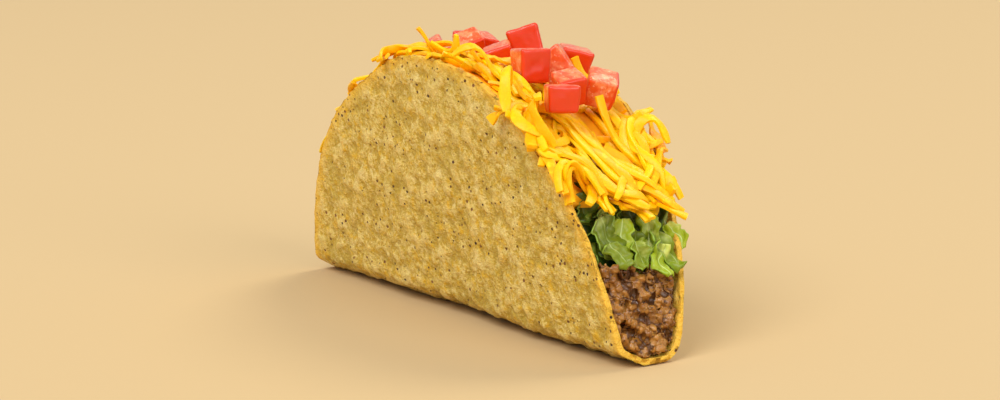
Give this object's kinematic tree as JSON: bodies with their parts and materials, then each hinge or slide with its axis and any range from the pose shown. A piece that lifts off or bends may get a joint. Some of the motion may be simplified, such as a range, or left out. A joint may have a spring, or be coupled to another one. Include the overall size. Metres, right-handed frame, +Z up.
{
  "type": "crisp corn taco",
  "caption": "Folded crisp corn tortilla standing on its fold, filled with ground beef, shredded lettuce, shredded cheese and diced tomato.",
  "frame": {"origin": "on the flat under the fold, halfway along it and halfway across the flat", "axes": "+X along the fold, +Z up, -Y towards the wall that the picture shows"},
  "size_m": [0.145, 0.0499, 0.0743],
  "materials": {
    "corn_shell": null,
    "ground_beef": null,
    "lettuce": null,
    "shredded_cheese": null,
    "tomato": null
  },
  "bodies": {
    "root": {"shell": "corn_shell", "beef": "ground_beef", "lettuce": "lettuce", "cheese": "shredded_cheese", "tomato_01": "tomato", "tomato_02": "tomato", "tomato_03": "tomato", "tomato_04": "tomato", "tomato_05": "tomato", "tomato_06": "tomato", "tomato_07": "tomato", "tomato_08": "tomato", "tomato_09": "tomato", "tomato_10": "tomato", "tomato_11": "tomato", "tomato_12": "tomato", "tomato_13": "tomato", "tomato_14": "tomato"}
  },
  "joints": []
}
